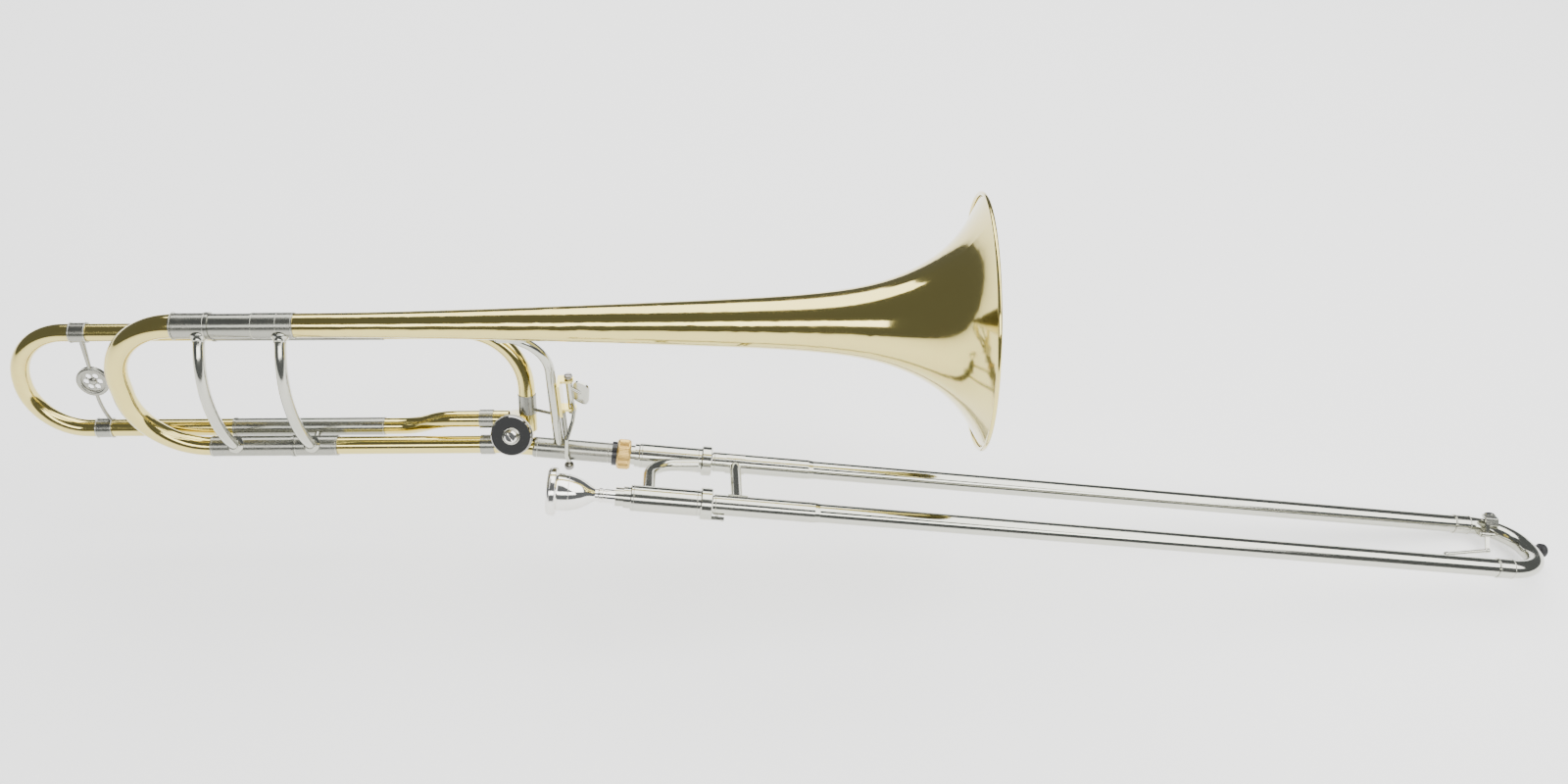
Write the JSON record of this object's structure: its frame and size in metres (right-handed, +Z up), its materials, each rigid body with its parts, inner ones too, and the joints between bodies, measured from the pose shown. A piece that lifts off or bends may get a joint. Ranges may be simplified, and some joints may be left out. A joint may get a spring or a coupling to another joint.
{
  "type": "trombone",
  "caption": "Tenor trombone with an open-wrap F attachment, rotary valve, thumb lever, tuning slides and hand slide in lacquered brass and nickel",
  "frame": {"origin": "centre of the bell mouth", "axes": "+X out of the bell along its axis, +Z up with the neckpipe below the bell, and the mouthpiece tube on the -Y side"},
  "size_m": [1.3025, 0.2032, 0.3448],
  "materials": {
    "brass_lacquered": "clear lacquer, polished",
    "nickel_satin": "satin nickel",
    "nickel_bright": "polished nickel",
    "nickel_tube": "polished nickel, drawn lengthwise",
    "drawn_tube": "hard chrome, fine drawn",
    "brass_legs": "drawn brass",
    "brass_raw": "turned, unlacquered",
    "valve_cap_dark": "turned and polished nickel",
    "silver_plate": "polished silver plate",
    "black_ring": "smooth black",
    "rubber_black": "moulded rubber",
    "cork_black": "matt synthetic cork",
    "steel_dark": "turned steel"
  },
  "bodies": {
    "bell_section": {"bell": "brass_lacquered", "rim_wire": "brass_lacquered", "bell_ferrule": "nickel_satin", "upper_tuning_tube": "nickel_satin", "neck_inner_tube": "drawn_tube", "neck_ferrule": "nickel_satin", "neckpipe": "brass_lacquered", "rear_bell_brace": "nickel_bright", "valve_ferrules": "nickel_satin", "valve_casing": "brass_lacquered", "valve_cap": "valve_cap_dark", "valve_back_plate": "valve_cap_dark", "stop_bumpers": "rubber_black", "gooseneck": "brass_lacquered", "f_lower_sleeve": "nickel_satin", "f_upper_sleeve": "nickel_satin", "return_pipe": "brass_lacquered", "return_collar": "nickel_satin", "front_bell_brace": "nickel_bright", "stay_rods": "nickel_satin", "trigger_bracket": "brass_lacquered", "trigger_pin": "steel_dark", "trigger_spring": "steel_dark", "slide_receiver": "nickel_satin", "receiver_washer": "black_ring"},
    "main_tuning_slide": {"main_bow": "brass_lacquered", "bow_ferrule": "nickel_satin", "tuning_inner_tube": "drawn_tube", "tuning_outer_tube": "nickel_satin", "bow_brace": "nickel_bright"},
    "f_tuning_slide": {"f_bow": "brass_lacquered", "f_ferrules": "nickel_satin", "f_legs": "brass_legs", "medallion": "nickel_satin"},
    "thumb_lever": {"thumb_lever": "nickel_bright"},
    "link_rod": {"link_rod": "steel_dark"},
    "rotor": {"rotor": "brass_raw", "stop_arm": "steel_dark"},
    "lock_nut": {"lock_nut": "brass_raw"},
    "slide_section": {"slide_tenon": "nickel_bright", "upper_barrel": "nickel_bright", "lower_barrel": "nickel_bright", "hand_brace": "nickel_bright", "leadpipe": "nickel_bright", "upper_inner_tube": "drawn_tube", "lower_inner_tube": "drawn_tube", "barrel_corks": "cork_black"},
    "slide_lock": {"slide_lock": "nickel_bright"},
    "mouthpiece": {"mouthpiece": "silver_plate"},
    "hand_slide": {"upper_outer_tube": "nickel_tube", "lower_outer_tube": "nickel_tube", "slide_sleeves": "nickel_bright", "outer_brace": "nickel_bright", "end_ferrules": "nickel_bright", "crook": "nickel_tube", "bumper_socket": "nickel_bright", "bumper_tip": "rubber_black", "water_key_saddle": "nickel_bright"},
    "water_key": {"water_key_lever": "nickel_bright", "water_key_cork": "cork_black"}
  },
  "joints": [
    {"name": "slide_swivel", "type": "hinge", "parent": "bell_section", "child": "slide_section", "pos_m": [-0.29741, 0, -0.13975], "axis": [0.9922, 0, -0.125], "range_deg": [-40, 40]},
    {"name": "hand_slide_travel", "type": "slide", "parent": "slide_section", "child": "hand_slide", "axis": [0.9922, 0, -0.125], "range_m": [0, 0.6]},
    {"name": "slide_lock_turn", "type": "hinge", "parent": "slide_section", "child": "slide_lock", "pos_m": [-0.21802, -0.07422, -0.12559], "axis": [0.9922, 0, -0.125], "range_deg": [0, 35]},
    {"name": "mouthpiece_pull", "type": "slide", "parent": "slide_section", "child": "mouthpiece", "axis": [-0.9922, 0, 0.125], "range_m": [0, 0.04]},
    {"name": "lock_nut_turn", "type": "hinge", "parent": "bell_section", "child": "lock_nut", "pos_m": [-0.28947, 0, -0.14075], "axis": [0.9922, 0, -0.125], "continuous": true},
    {"name": "main_tuning_pull", "type": "slide", "parent": "bell_section", "child": "main_tuning_slide", "axis": [-1, 0, 0], "range_m": [0, 0.045]},
    {"name": "f_tuning_pull", "type": "slide", "parent": "bell_section", "child": "f_tuning_slide", "axis": [-1, 0, 0], "range_m": [0, 0.08]},
    {"name": "thumb_lever_turn", "type": "hinge", "parent": "bell_section", "child": "thumb_lever", "pos_m": [-0.33, 0.007, -0.0785], "axis": [0, 0, 1], "range_deg": [0, 31.6], "stiffness_Nm_per_rad": 0.12, "springref_deg": -28.65},
    {"name": "link_rod_turn", "type": "hinge", "parent": "thumb_lever", "child": "link_rod", "pos_m": [-0.335, -0.0105, -0.1435], "axis": [0, 0, 1], "range_deg": [-31.6, 0]},
    {"name": "rotor_turn", "type": "hinge", "parent": "bell_section", "child": "rotor", "pos_m": [-0.38, 0.0055, -0.11887], "axis": [0, -0.866, 0.5], "range_deg": [0, 90]},
    {"name": "water_key_turn", "type": "hinge", "parent": "hand_slide", "child": "water_key", "pos_m": [0.46669, -0.0157, -0.23089], "axis": [0.9922, 0, -0.125], "range_deg": [0, 20], "stiffness_Nm_per_rad": 0.06, "springref_deg": -28.65}
  ],
  "couplings": [
    {"joint": "link_rod_turn", "follows": "thumb_lever_turn", "ratio": -1},
    {"joint": "rotor_turn", "follows": "thumb_lever_turn", "ratio": 2.848}
  ]
}
